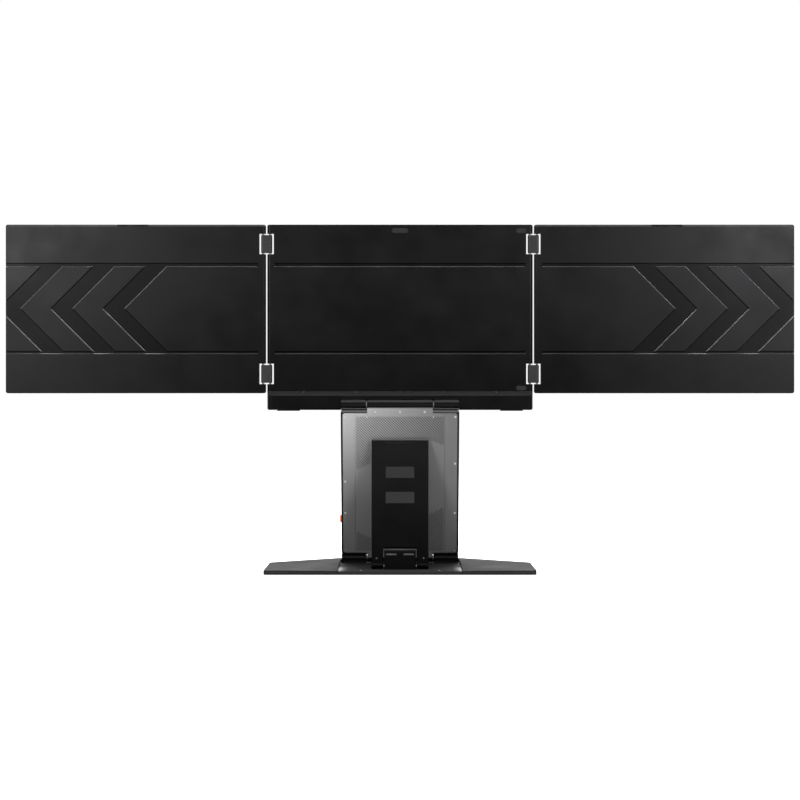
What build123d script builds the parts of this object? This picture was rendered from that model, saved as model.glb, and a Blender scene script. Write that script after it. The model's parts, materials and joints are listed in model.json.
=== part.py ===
from build123d import *
from math import asin, atan2, cos, degrees, hypot, radians, sin
import os

# A three-screen laptop screen extender on a propped stand.
# Millimetres, +Z up, screens face -Y, +X to the right of the person who looks at them.
# The origin is the centre of the base's footprint, on the table.

# ---- clearances
RUN = 0.05            # radial play of a turning pin
FIT = 0.1             # play round a piece that drops into its seat
SLIP = 0.3            # air between two pieces that move past each other
OVER = 1.0            # how far a cut runs past the face it opens

# ---- base
BASE_W = 318.2
BASE_D = 160.0
BASE_T = 5.2          # plate, above the feet
BASE_FRONT_W = 155.4  # straight front edge between the two swept ones
BASE_END_D = 102.0    # straight side edge, from the rear corner
BASE_EDGE_R = 1.0
BASE_CORNER_R = 5.0
FOOT_T = 0.4
FOOT_W = 34.0
FOOT_D = 9.0
FOOT_INSET = 4.5
SHEET_T = 0.6         # steel closing sheet under the base
SHEET_INSET = 3.0
BALLAST_T = 2.0
BALLAST_W = 66.0
BALLAST_D = 78.0
BALLAST_SIDE = 6.0    # from the recess to a ballast bar
BALLAST_REAR = 9.0    # from the rear edge to a ballast bar
CREASE_SPAN = 57.5    # rear end of the crease in the top face, beside the recess
CREASE_L = 102.0      # its front end, on the recess wall, ahead of the rear edge
FACET_DROP = 0.6      # rear corner of the facet between crease and recess, below the top face

# ---- deck insert in the base's recess, rising to the rear
WEB_T = 0.9           # plate left under the deck
DECK_T = 0.6          # deck under the spine hinge
DECK_RISE = 2.8       # from there up to the rear rim
DECK_AIR = 0.4        # below what turns over the deck
RECESS_SIDE_GAP = 1.5
RECESS_FRONT = 9.5    # recess wall, ahead of the lower hinge axis
HINGE_SETBACK = 28.0  # lower hinge axis, behind the front edge
STRUT_SETBACK = 23.0  # strut axis, ahead of the rear edge
DECK_SCREW_X = 45.7
DECK_SCREW_INSET = 2.6
DECK_SCREW_PROUD = 0.4

# ---- hinges at both ends of the spine
LOWER_R = 5.6
UPPER_R = 5.5
BARREL_HALF = 40.0    # central barrel, half length
KNUCKLE_GAP = 1.4
KNUCKLE_FOOT = 4.5    # reach of a lower knuckle's foot behind its axis
KNUCKLE_WALL = 2.0    # closed end of a knuckle's bore
PIN_R = 2.5
PIN_INNER = 18.0      # inner end of each hinge pin
WASHER_T = 0.8
WASHER_R = 4.9
EDGE_BREAK = 0.3      # small chamfer on bare edges

# ---- screws
SCREW_R = 1.3
SCREW_SHANK_R = 0.9
SCREW_L = 5.0
SCREW_SINK = 0.6      # head thickness
DRIVE_L = 1.5         # cross recess, from end to end
DRIVE_W = 0.4
DRIVE_DEPTH = 0.36

# ---- spine
SPINE_L = 193.8       # from the lower hinge axis to the upper one
SPINE_LEAN = 11.3
SPINE_W = 144.0
SPINE_BACK = 5.9      # from the plane of both axes to the rear face
SPINE_FRONT = 5.0
SPINE_TOP_DROP = 6.86  # body top below the upper axis
SPINE_TOP_RAMP = 6.0  # bevel that clears the panel as it tilts
SPINE_TOP_WALL = 6.8
SPINE_CORNER_R = 3.0
SPINE_EDGE_R = 1.2
SPINE_WALL = 2.0
SPINE_SKIN = 1.6      # front wall
LOWER_GAP = 0.8       # body bottom above the lower knuckles
UPPER_NECK = 1.0      # neck of the upper barrel, front face ahead of the axes
LOWER_NECK = 3.4      # and that of the lower barrel
COVER_T = 1.5
COVER_DROP = 3.4      # black edge left above the cover
COVER_LIFT = 1.6      # and below it
COVER_SIDE = 2.2
TAB_RISE = 6.1        # upper tab above the cover's edge
TAB_FALL = 6.3        # lower tab below the cover's edge
BOSS_R = 2.4
COVER_SCREW_INSET = 2.6
COVER_SCREW_DROP = 4.6
COVER_SCREW_MID_DROPS = (62.8, 85.3)  # middle screws on the -X and on the +X side
COVER_SCREW_UPS = (2.4, 50.6)
INNER_SCREW_X = 40.2
INNER_SCREW_DROP = 5.2
TAB_SCREW_PITCH = 30.0
TAB_SCREW_UP = 1.6
SEAM_X = 54.4         # fine grooves down the cover, from its middle
SEAM_W = 0.8
SEAM_DEPTH = 0.4

# ---- hub board in the spine, with its ports and key
HUB_W = 112.0
HUB_H = 104.0
HUB_T = 1.4
HUB_UP = 74.0         # hub board centre above the lower axis
HUB_STANDOFF = 2.0
HUB_POST_INSET = 4.8
CHIP_W = 16.0
CHIP_T = 1.4
CHIP_PITCH = 30.0
PORT_W = 9.0
PORT_H = 3.3
PORT_D = 7.5
PORT_WALL = 0.4
PORT_PITCH = 19.0
PORT_UP = 68.0        # lowest port above the lower axis
PORT_SEAT = 2.0       # reach of a port's tail over the board
TONGUE_W = 5.2
TONGUE_T = 0.7
TONGUE_SINK = 1.5
KEY_UP = 50.0         # power key above the lower axis
KEY_L = 8.6
KEY_T = 4.2
KEY_PROUD = 2.0
KEY_TRAVEL = 0.9
KEY_LIP = 1.3
KEY_CORNER_R = 1.5
KEY_EDGE_R = 0.5
KEY_SWITCH_W = 6.0
KEY_SWITCH_T = 2.4
KEY_SWITCH_SEAT = 3.0  # reach of the switch over the board

# ---- strut
STRUT_L = 163.0       # from its pin to its top edge
STRUT_T = 5.0
STRUT_FOOT_W = 66.8
STRUT_TOP_W = 69.2
STRUT_BEVEL = 0.7
STRUT_KNUCKLE_R = 3.2
STRUT_PIN_R = 1.5
STRUT_PIN_WALL = 2.0
NOTCH_W = 39.4
NOTCH_H = 22.7
NOTCH_GAP = 1.2
LUG_T = 7.0
LUG_H = 18.7
LUG_ROUND = 3.1
LEAF_X = 10.3
LEAF_W = 12.0
LEAF_H = 1.8
LEAF_UP = 14.1
PAD_W = 34.2
PAD_H = 14.6
PAD_UPS = (86.2, 119.0)
PAD_T = 0.5
PAD_CORNER_R = 1.0
BUMPER_W = 42.0
BUMPER_H = 1.8
BUMPER_DROP = 3.8
STRUT_SCREW_X = 27.7
STRUT_SCREW_UP = 9.0
STRUT_SCREW_L = 3.5

# ---- screen panels
SCREEN_W = 301.6
SCREEN_H = 188.5
BEZEL_TOP = 6.7
CENTRE_BEZEL = 10.65
CENTRE_BEZEL_LOW = 30.1
WING_BEZEL_IN = 10.95
WING_BEZEL_OUT = 3.7
WING_BEZEL_LOW = 9.9
GLASS_SINK = 0.2
GLASS_T = 1.2
DISPLAY_T = 3.6
DISPLAY_AIR = 0.2
BOARD_T = 1.0
COVER_PLATE = 1.8     # rear cover thickness
PANEL_GAP = 1.5
CORNER_R = 2.6
EDGE_R = 1.2
HINGE_EDGE_R = 3.2
DRIVER_W = 160.0
DRIVER_H = 30.0
DRIVER_IN = 40.0      # driver board, from the screen's inner edge
DRIVER_UP = 4.0

# ---- relief on the rear covers
RELIEF = 0.9          # depth of the grooves and channels
RELIEF_SLOPE = 45
UPPER_GROOVE = 46.7   # groove's upper edge below the panel top
UPPER_GROOVE_H = 4.7
LOWER_GROOVE = 153.6
LOWER_GROOVE_H = 3.7
CENTRE_GROOVE_END = 8.95
WING_GROOVE_END = 9.65
FIELD_W = 117.95      # wing: from its hinge edge to the first channel
CHANNEL_W = 27.7
ISLAND_W = 35.6
CHANNELS = 3

# ---- chin of the centre panel
CHIN_DROP = 7.2       # panel bottom below the upper axis
CHIN_T = 6.0          # chin stands this far behind the panel's rear face
CHIN_H = 17.3         # its rear face, up to the sloped ledge
LEDGE_H = 5.1
CHIN_BEVEL = 2.4
CHIN_INSET = 0.45     # chin's ends, inside the panel's side edges
CHIN_END_R = 5.0
CHIN_WALL = 2.0
CHIN_FLOOR = 4.0
CHIN_ROOF = 1.0
RECESS_END_GAP = 0.6  # between the knuckles and the ends of the recess
RECESS_SKIN = 2.0     # front wall left in front of the barrel
RECESS_AIR = 0.5      # between the barrel and the ceiling of the recess
CEILING_FRONT = 2.5   # flat ceiling, ahead of the upper axis
RECESS_SHOULDER = 4.0  # top of the recess's front wall, above the upper axis
CHIN_SCREW_PITCH = 54.3
CHIN_SCREW_END = 117.0
CHIN_SCREW_UP = 21.9
CHIN_FOOT_X = 135.5
CHIN_FOOT_W = 27.6
CHIN_FOOT_D = 6.0
CHIN_FOOT_T = 1.15
MAIN_BOARD_GAP = 2.0
MAIN_BOARD_LIFT = 1.6
MAIN_CHIPS = 3
MAIN_CHIP_W = 10.0
MAIN_CHIP_EDGE = 2.0  # board left above and below its chips

# ---- rubber plugs in the centre cover
PLUG_T = 0.4
PLUG_SIDE = 14.05     # side plugs, from the panel's -X edge
TOP_PLUG_W = 19.8
TOP_PLUG_H = 5.8
TOP_PLUG_DROP = 7.3
SIDE_PLUG_W = 12.4
SIDE_PLUG_H = 5.6
SIDE_PLUG_UP = 26.6

# ---- folding links between the panels
LINK_H = 21.8
LINK_T = 7.0
LINK_R = 2.4
LINK_EDGE_R = 0.8
LINK_PIN_SPAN = 8.6
LINK_END = 2.5        # link beyond each pin
LINK_PIN_R = 1.4
LINK_PIN_BITE = 5.0   # length of pin inside each panel
LINK_NOTCH_GAP = 1.5
LINK_SWING = 4.5      # notch wall from the pin
UPPER_LINK_DROP = 23.6
LOWER_LINK_DROP = 181.5

# ---- rocker bar on each wing's top edge
BAR_X = 161.55        # bar centre from the wing's hinge edge
BAR_L = 37.8
BAR_D = 3.3
BAR_H = 1.5
BAR_TRAVEL = 0.6
STEM_R = 0.8
STEM_X = 12.0
SWITCH_D = 3.0
SWITCH_H = 1.4

# ---- places worked out from the sizes
rear_y = BASE_D / 2
base_top = FOOT_T + BASE_T
deck_seat = FOOT_T + SHEET_T + WEB_T
deck_low = deck_seat + DECK_T
lower_y = -rear_y + HINGE_SETBACK
lower_z = deck_low + DECK_AIR + LOWER_R
upper_y = lower_y + SPINE_L * sin(radians(SPINE_LEAN))
upper_z = lower_z + SPINE_L * cos(radians(SPINE_LEAN))
strut_y = rear_y - STRUT_SETBACK
deck_screw_y = rear_y - DECK_SCREW_INSET
knuckle_in = BARREL_HALF + KNUCKLE_GAP
knuckle_out = SPINE_W / 2
recess_half = knuckle_out + RECESS_SIDE_GAP
recess_wall_y = lower_y - RECESS_FRONT
slope_y = lower_y + LOWER_R
rim_y = rear_y - BASE_EDGE_R

body_bottom = LOWER_R + LOWER_GAP
body_top = SPINE_L - SPINE_TOP_DROP
cover_low = body_bottom + COVER_LIFT
cover_high = body_top - COVER_DROP
cover_half = SPINE_W / 2 - COVER_SIDE
cover_seat = SPINE_BACK - COVER_T
skin_in = -SPINE_FRONT + SPINE_SKIN
board_under = skin_in + HUB_STANDOFF
board_top = board_under + HUB_T
side_wall_in = SPINE_W / 2 - SPINE_WALL

panel_t = GLASS_SINK + GLASS_T + DISPLAY_T + DISPLAY_AIR + BOARD_T + COVER_PLATE
panel_rear = upper_y
panel_front = panel_rear - panel_t
panel_mid = panel_rear - panel_t / 2
split_y = panel_rear - COVER_PLATE
chin_rear = panel_rear + CHIN_T
centre_half = SCREEN_W / 2 + CENTRE_BEZEL
centre_low = upper_z - CHIN_DROP
screen_low = centre_low + CENTRE_BEZEL_LOW
screen_high = screen_low + SCREEN_H
panel_top = screen_high + BEZEL_TOP
wing_low = screen_low - WING_BEZEL_LOW
wing_in = centre_half + PANEL_GAP
wing_screen_in = wing_in + WING_BEZEL_IN
wing_screen_out = wing_screen_in + SCREEN_W
wing_out = wing_screen_out + WING_BEZEL_OUT
link_x = centre_half + PANEL_GAP / 2
link_zs = (panel_top - UPPER_LINK_DROP, panel_top - LOWER_LINK_DROP)
centre_pin_x = link_x - LINK_PIN_SPAN / 2
wing_pin_x = link_x + LINK_PIN_SPAN / 2
bar_x = wing_in + BAR_X
switch_low = screen_high + FIT
switch_high = switch_low + SWITCH_H
stem_low = switch_high + BAR_TRAVEL + FIT
bar_floor = panel_top - BAR_H - BAR_TRAVEL - SLIP


# ---- plain shapes

def block(x0, x1, y0, y1, z0, z1):
    """Box between two opposite corners."""
    centre = Pos((x0 + x1) / 2, (y0 + y1) / 2, (z0 + z1) / 2)
    return centre * Box(abs(x1 - x0), abs(y1 - y0), abs(z1 - z0))


def rod_x(radius, x0, x1, y, z):
    return Pos((x0 + x1) / 2, y, z) * Rot(Y=90) * Cylinder(radius, abs(x1 - x0))


def rod_y(radius, y0, y1, x, z):
    return Pos(x, (y0 + y1) / 2, z) * Rot(X=90) * Cylinder(radius, abs(y1 - y0))


def rod_z(radius, z0, z1, x, y):
    return Pos(x, y, (z0 + z1) / 2) * Cylinder(radius, abs(z1 - z0))


def prism_x(points, x0, x1):
    """Polygon of (y, z) points, extruded from x0 to x1."""
    face = Plane.YZ.offset(x0) * Polygon(*points, align=None)
    return extrude(face, x1 - x0, dir=(1, 0, 0))


def plate(x0, x1, z0, z1, y0, y1, radius):
    """Upright plate with rounded corners, its faces square to Y."""
    outline = Pos((x0 + x1) / 2, (z0 + z1) / 2) * RectangleRounded(x1 - x0, z1 - z0, radius)
    return extrude(Plane.XZ.offset(-y1) * outline, y1 - y0)


def mirror_pair(shape):
    """The shape and its mirror image in the plane X = 0."""
    return [shape, mirror(shape, Plane.YZ)]


def group(shapes):
    return Compound(children=[s for shape in shapes for s in shape.solids()])


def round_ends(body):
    """Breaks the circular edges at the ends of a plain rod."""
    return chamfer(body.edges().filter_by(GeomType.CIRCLE), EDGE_BREAK)


# ---- places

def lean(shape):
    """From the spine's own frame, upright on the lower axis, to its place."""
    return Pos(0, lower_y, lower_z) * Rot(X=-SPINE_LEAN) * shape


def strut_height():
    """Height of the strut's pin, with its knuckles just over the deck."""
    return deck_line(strut_y) + DECK_AIR + STRUT_KNUCKLE_R


def strut_lean():
    """Forward lean that leaves the strut's top edge a slip gap off the spine's back."""
    lean_rad = radians(SPINE_LEAN)
    away = (strut_y - lower_y) * cos(lean_rad) - (strut_height() - lower_z) * sin(lean_rad)
    reach = hypot(STRUT_L, STRUT_T / 2)
    turn = asin((away - SPINE_BACK - SLIP) / reach) - atan2(STRUT_T / 2, STRUT_L)
    return degrees(turn) - SPINE_LEAN


def prop(shape):
    """From the strut's own frame, upright on its pin, to its place."""
    return Pos(0, strut_y, strut_height()) * Rot(X=strut_lean()) * shape


def facing_rear(x, y, z):
    """Place whose Z axis points to the rear."""
    return Pos(x, y, z) * Rot(X=-90)


# ---- screws, pointing down from the origin

def screw(length):
    head = rod_z(SCREW_R, -SCREW_SINK, 0, 0, 0)
    shank = rod_z(SCREW_SHANK_R, -length, -SCREW_SINK, 0, 0)
    slot = Pos(Z=-DRIVE_DEPTH / 2) * Box(DRIVE_L, DRIVE_W, DRIVE_DEPTH)
    return head + shank - slot - Rot(Z=90) * slot


def screw_hole(length):
    """Hole of the shank and seat of the head, open above."""
    return rod_z(SCREW_SHANK_R, -length, 0, 0, 0) + rod_z(SCREW_R, -SCREW_SINK, OVER, 0, 0)


# ---- base

def base_slab(inset, z0, z1):
    """Slab of the base's six-sided outline, drawn in by the inset."""
    half = BASE_W / 2
    front_half = BASE_FRONT_W / 2
    end = rear_y - BASE_END_D
    outline = Polygon((-half, rear_y), (-half, end), (-front_half, -rear_y),
                      (front_half, -rear_y), (half, end), (half, rear_y), align=None)
    if inset:
        outline = offset(outline, -inset)
    return extrude(Plane.XY.offset(z0) * outline, z1 - z0, dir=(0, 0, 1))


def ballast_bar(grow):
    """Steel bar beside the recess, or with some growth the pocket that holds it."""
    x0 = recess_half + BALLAST_SIDE
    y1 = rear_y - BALLAST_REAR
    low = FOOT_T + SHEET_T
    return block(x0 - grow, x0 + BALLAST_W + grow, y1 - BALLAST_D - grow, y1 + grow, low, low + BALLAST_T)


def deck_line(y):
    """Deck height at y, level under the spine hinge and then up to the rim."""
    return deck_low + DECK_RISE * max(0, y - slope_y) / (rim_y - slope_y)


def deck_screw_places():
    z = deck_line(deck_screw_y) + DECK_SCREW_PROUD
    return [Pos(side * DECK_SCREW_X, deck_screw_y, z) for side in (-1, 1)]


def deck_screw_length():
    return deck_line(deck_screw_y) + DECK_SCREW_PROUD - FOOT_T - SHEET_T


def facet_cut():
    """Space over the facet beside the recess, which sinks from the crease to the rear corner."""
    start = Vector(recess_half + CREASE_SPAN, rear_y, base_top)
    crease = Vector(-CREASE_SPAN, -CREASE_L, 0)
    edge = Vector(-CREASE_SPAN, 0, -FACET_DROP)
    plane = Plane(origin=start, x_dir=crease, z_dir=edge.cross(crease))
    length = crease.length + CREASE_SPAN
    return plane * Pos(crease.length / 2, -CREASE_SPAN / 2, BASE_T / 2) * Box(length, CREASE_SPAN, BASE_T)


def base_plate():
    body = base_slab(0, FOOT_T, base_top)
    body = fillet(body.edges().filter_by(Axis.Z), BASE_CORNER_R)
    body = fillet(body.faces().sort_by(Axis.Z)[-1].edges(), BASE_EDGE_R)
    body -= base_slab(SHEET_INSET, FOOT_T, FOOT_T + SHEET_T)
    for cut in mirror_pair(ballast_bar(FIT)) + mirror_pair(facet_cut()):
        body -= cut
    body -= block(-recess_half, recess_half, recess_wall_y, rear_y, deck_seat, base_top + OVER)
    for place in deck_screw_places():
        body -= place * screw_hole(deck_screw_length())
    return body


def base_deck():
    """Insert between the cheeks, level at the hinge and sloping up to the rear rim."""
    rim = deck_line(rim_y)
    side = [(recess_wall_y, deck_seat), (rear_y, deck_seat), (rear_y, rim - BASE_EDGE_R), (rim_y, rim),
            (slope_y, deck_low), (recess_wall_y, deck_low)]
    body = prism_x(side, -recess_half, recess_half)
    for place in deck_screw_places():
        body -= place * screw_hole(deck_screw_length())
    return body


def foot_places():
    """(x, y) of the feet: rear corners, side corners and front edge."""
    inset = FOOT_INSET + FOOT_D / 2
    wide = BASE_W / 2 - FOOT_INSET - FOOT_W / 2
    narrow = BASE_FRONT_W / 2 - FOOT_INSET - FOOT_W / 2
    rows = [(wide, rear_y - inset), (wide, rear_y - BASE_END_D + inset), (narrow, -rear_y + inset)]
    return [(side * x, y) for x, y in rows for side in (1, -1)]


def base_feet():
    return [Pos(x, y, 0) * extrude(SlotOverall(FOOT_W, FOOT_D), FOOT_T) for x, y in foot_places()]


def base_sheet():
    """Steel closing sheet, flush with the plate's underside."""
    return base_slab(SHEET_INSET + FIT, FOOT_T, FOOT_T + SHEET_T)


def lower_knuckle():
    """Outer part of the lower hinge, standing on the deck."""
    body = round_ends(rod_x(LOWER_R, knuckle_in, knuckle_out, lower_y, lower_z))
    body += block(knuckle_in + EDGE_BREAK, knuckle_out - EDGE_BREAK,
                  lower_y - LOWER_R, lower_y + KNUCKLE_FOOT, deck_low, lower_z)
    return body - rod_x(PIN_R, knuckle_in, knuckle_out - KNUCKLE_WALL, lower_y, lower_z)


def hinge_pin(y, z):
    return rod_x(PIN_R, PIN_INNER, knuckle_out - KNUCKLE_WALL, y, z)


def hinge_washer(y, z):
    x0 = BARREL_HALF + (KNUCKLE_GAP - WASHER_T) / 2
    return rod_x(WASHER_R, x0, x0 + WASHER_T, y, z) - rod_x(PIN_R, x0, x0 + WASHER_T, y, z)


def strut_lug():
    """Block on the deck that holds the strut's pin."""
    y0 = strut_y - LUG_T / 2
    y1 = strut_y + LUG_T / 2
    top = strut_height() + LUG_H
    half = NOTCH_W / 2 - NOTCH_GAP
    body = prism_x([(y0, deck_line(y0)), (y1, deck_line(y1)), (y1, top), (y0, top)], -half, half)
    body = fillet(body.edges().filter_by(Axis.X).sort_by(Axis.Z)[-2:], LUG_ROUND)
    body -= rod_x(STRUT_PIN_R, -half, half, strut_y, strut_height())
    for leaf in mirror_pair(lug_leaf()):
        body -= leaf
    return body


def lug_leaf():
    """Small steel spring leaf let into the lug's rear face."""
    y1 = strut_y + LUG_T / 2
    z = strut_height() + LEAF_UP
    return block(LEAF_X - LEAF_W / 2, LEAF_X + LEAF_W / 2, y1 - PAD_T, y1, z - LEAF_H / 2, z + LEAF_H / 2)


# ---- spine, in its own frame

def cover_screw_places():
    """Heads of the screws in the rear cover: down both sides, and along the upper tab."""
    side = cover_half - COVER_SCREW_INSET
    spots = []
    for sign, mid_drop in zip((-1, 1), COVER_SCREW_MID_DROPS):
        heights = [cover_high - COVER_SCREW_DROP, cover_high - mid_drop]
        heights += [cover_low + up for up in COVER_SCREW_UPS]
        spots += [(sign * side, z) for z in heights]
    spots += [(sign * INNER_SCREW_X, cover_high - INNER_SCREW_DROP) for sign in (-1, 1)]
    spots += [(n * TAB_SCREW_PITCH, cover_high + TAB_SCREW_UP) for n in (-1, 0, 1)]
    return spots


def cover_screws(make):
    """A screw, or its hole, at each place in the rear cover."""
    return [facing_rear(x, SPINE_BACK, z) * make(SCREW_L) for x, z in cover_screw_places()]


def spine_neck(z0, z1, y0, y1):
    """Block as wide as the central barrels."""
    return block(-BARREL_HALF, BARREL_HALF, y0, y1, z0, z1)


def hub_posts():
    dx = HUB_W / 2 - HUB_POST_INSET
    dz = HUB_H / 2 - HUB_POST_INSET
    return [(sx * dx, HUB_UP + sz * dz) for sx in (-1, 1) for sz in (-1, 1)]


def spine_chassis():
    """Black tray, open to the rear, with a neck to each hinge barrel."""
    half = SPINE_W / 2
    body = plate(-half, half, body_bottom, body_top, -SPINE_FRONT, SPINE_BACK, SPINE_CORNER_R)
    body -= prism_x([(-SPINE_FRONT, body_top - SPINE_TOP_RAMP), (SPINE_TOP_RAMP - SPINE_FRONT, body_top),
                     (-SPINE_FRONT, body_top)], -half, half)
    body = fillet(body.edges().filter_by(Axis.Z).group_by(Axis.Y)[0], SPINE_EDGE_R)
    body += spine_neck(body_top - SPINE_TOP_WALL, SPINE_L, -UPPER_NECK, cover_seat)
    body += spine_neck(0, body_bottom + SPINE_WALL, -LOWER_NECK, cover_seat)
    body -= rod_x(LOWER_R, -BARREL_HALF, BARREL_HALF, 0, 0)
    body -= rod_x(UPPER_R, -BARREL_HALF, BARREL_HALF, 0, SPINE_L)
    body -= block(-side_wall_in, side_wall_in, skin_in, cover_seat,
                  body_bottom + SPINE_WALL, body_top - SPINE_TOP_WALL)
    body -= block(-cover_half - FIT, cover_half + FIT, cover_seat, SPINE_BACK,
                  cover_low - FIT, cover_high + FIT)
    body -= spine_neck(0, body_top, cover_seat, SPINE_BACK)
    room = block(-half, half, skin_in, cover_seat, body_bottom, body_top)
    for x, z in cover_screw_places():
        if z < body_top - SPINE_TOP_WALL:
            body += rod_y(BOSS_R, skin_in, cover_seat, x, z) & room
    for hole in cover_screws(screw_hole):
        body -= hole
    for x, z in hub_posts():
        body += rod_y(BOSS_R, skin_in, board_under, x, z)
    for z in port_heights():
        body -= port_rod(z, FIT, PORT_D)
    body -= key_slot()
    return body


def spine_cover():
    """Grey rear cover with a tab to each hinge barrel."""
    body = plate(-cover_half, cover_half, cover_low, cover_high, cover_seat, SPINE_BACK, SPINE_CORNER_R)
    tab_half = BARREL_HALF - FIT
    body += block(-tab_half, tab_half, cover_seat, SPINE_BACK, cover_low - TAB_FALL, cover_high + TAB_RISE)
    body = chamfer(body.faces().sort_by(Axis.Y)[-1].edges(), EDGE_BREAK)
    body -= rod_x(LOWER_R, -SPINE_W, SPINE_W, 0, 0)
    body -= rod_x(UPPER_R, -SPINE_W, SPINE_W, 0, SPINE_L)
    half = SEAM_W / 2
    seam = block(SEAM_X - half, SEAM_X + half, SPINE_BACK - SEAM_DEPTH, SPINE_BACK, cover_low, cover_high)
    for cut in mirror_pair(seam) + cover_screws(screw_hole):
        body -= cut
    return body


def barrel(radius, z, play):
    """Central barrel of a hinge, bored from both ends for its pins."""
    body = round_ends(rod_x(radius, -BARREL_HALF, BARREL_HALF, 0, z))
    for bore in mirror_pair(rod_x(PIN_R + play, PIN_INNER - SLIP, BARREL_HALF, 0, z)):
        body -= bore
    return body


def spine_hub_board():
    """Hub board with four chips in a square."""
    body = block(-HUB_W / 2, HUB_W / 2, board_under, board_top, HUB_UP - HUB_H / 2, HUB_UP + HUB_H / 2)
    for sx in (-1, 1):
        for sz in (-1, 1):
            chip = Box(CHIP_W, CHIP_T, CHIP_W)
            body += Pos(sx * CHIP_PITCH / 2, board_top + CHIP_T / 2, HUB_UP + sz * CHIP_PITCH / 2) * chip
    return body


def port_heights():
    return [PORT_UP + n * PORT_PITCH for n in range(2)]


def port_rod(z, grow, depth):
    """Slot-shaped rod inward from the -X side face, as high above the board as a port."""
    section = Rot(Z=90) * SlotOverall(PORT_W + 2 * grow, PORT_H + 2 * grow)
    face = Plane.YZ.offset(-SPINE_W / 2) * Pos(board_top + PORT_H / 2, z) * section
    return extrude(face, depth, dir=(1, 0, 0))


def spine_port(z):
    """Oblong socket: a shell with a tongue, and a tail that lies on the hub board."""
    x0 = -SPINE_W / 2
    x1 = x0 + PORT_D
    y = board_top + PORT_H / 2
    body = port_rod(z, 0, PORT_D) - port_rod(z, -PORT_WALL, PORT_D - PORT_WALL)
    z0 = z - TONGUE_W / 2
    z1 = z + TONGUE_W / 2
    body += block(x0 + TONGUE_SINK, x1, y - TONGUE_T / 2, y + TONGUE_T / 2, z0, z1)
    body += block(x1 - PORT_WALL, PORT_SEAT - HUB_W / 2, board_top, y, z0, z1)
    return body


def key_slot():
    return block(side_wall_in - OVER, SPINE_W / 2 + OVER, -KEY_T / 2 - SLIP, KEY_T / 2 + SLIP,
                 KEY_UP - KEY_L / 2 - SLIP, KEY_UP + KEY_L / 2 + SLIP)


def power_key():
    """Side key: a cap through the wall and a lip that keeps it in."""
    x0 = side_wall_in - KEY_LIP
    cap = block(x0, SPINE_W / 2 + KEY_PROUD, -KEY_T / 2, KEY_T / 2, KEY_UP - KEY_L / 2, KEY_UP + KEY_L / 2)
    cap = fillet(cap.edges().filter_by(Axis.X), KEY_CORNER_R)
    cap = fillet(cap.faces().sort_by(Axis.X)[-1].edges(), KEY_EDGE_R)
    reach = KEY_L / 2 + KEY_LIP
    return cap + block(x0, side_wall_in - SLIP, -KEY_T / 2, KEY_T / 2, KEY_UP - reach, KEY_UP + reach)


def key_switch():
    """Switch on the hub board behind the power key."""
    x1 = side_wall_in - KEY_LIP - KEY_TRAVEL - FIT
    return block(HUB_W / 2 - KEY_SWITCH_SEAT, x1, board_top, board_top + KEY_SWITCH_T,
                 KEY_UP - KEY_SWITCH_W / 2, KEY_UP + KEY_SWITCH_W / 2)


# ---- strut, in its own frame

def strut_screws(make):
    places = [facing_rear(side * STRUT_SCREW_X, STRUT_T / 2, STRUT_SCREW_UP) for side in (-1, 1)]
    return [place * make(STRUT_SCREW_L) for place in places]


def strut_plate():
    foot = STRUT_FOOT_W / 2
    top = STRUT_TOP_W / 2
    outline = Polygon((-foot, 0), (foot, 0), (top, STRUT_L), (-top, STRUT_L), align=None)
    body = extrude(Plane.XZ.offset(-STRUT_T / 2) * outline, STRUT_T)
    body = chamfer(body.edges().filter_by(Axis.X).sort_by(Axis.Z)[-2:], STRUT_BEVEL)
    body += rod_x(STRUT_KNUCKLE_R, -foot, foot, 0, 0)
    notch = NOTCH_W / 2
    body -= block(-notch, notch, -STRUT_T, STRUT_T, -STRUT_T, NOTCH_H)
    body -= rod_x(STRUT_PIN_R + RUN, STRUT_PIN_WALL - foot, foot - STRUT_PIN_WALL, 0, 0)
    bumper = BUMPER_W / 2
    z1 = STRUT_L - BUMPER_DROP
    body -= block(-bumper, bumper, -STRUT_T, STRUT_T, z1 - BUMPER_H, z1)
    for up in PAD_UPS:
        body -= strut_pad(up)
    for hole in strut_screws(screw_hole):
        body -= hole
    return body


def strut_pad(up):
    y1 = STRUT_T / 2
    return plate(-PAD_W / 2, PAD_W / 2, up - PAD_H / 2, up + PAD_H / 2, y1 - PAD_T, y1, PAD_CORNER_R)


def strut_bumper():
    """Rubber strip in a slot near the top edge, that lies against the spine."""
    z1 = STRUT_L - BUMPER_DROP
    return block(-BUMPER_W / 2, BUMPER_W / 2, -STRUT_T / 2, STRUT_T / 2 - PAD_T, z1 - BUMPER_H, z1)


def strut_pin():
    half = STRUT_FOOT_W / 2 - STRUT_PIN_WALL - SLIP
    return rod_x(STRUT_PIN_R, -half, half, strut_y, strut_height())


# ---- panels

def rounded_slab(x0, x1, z0, z1, hinge_at):
    """Panel blank: small edge rounds all round, larger ones on the hinge edges."""
    body = plate(x0, x1, z0, z1, panel_front, panel_rear, CORNER_R)
    body = fillet(body.faces().sort_by(Axis.Y)[-1].edges(), EDGE_R)
    body = fillet(body.faces().sort_by(Axis.Y)[0].edges(), EDGE_R)
    grow = 2 * HINGE_EDGE_R
    low = x0 if "low" in hinge_at else x0 - grow
    high = x1 if "high" in hinge_at else x1 + grow
    section = Pos((low + high) / 2, panel_mid) * RectangleRounded(high - low, panel_t, HINGE_EDGE_R)
    return body & extrude(Plane.XY.offset(z0 - OVER) * section, z1 - z0 + 2 * OVER)


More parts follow.
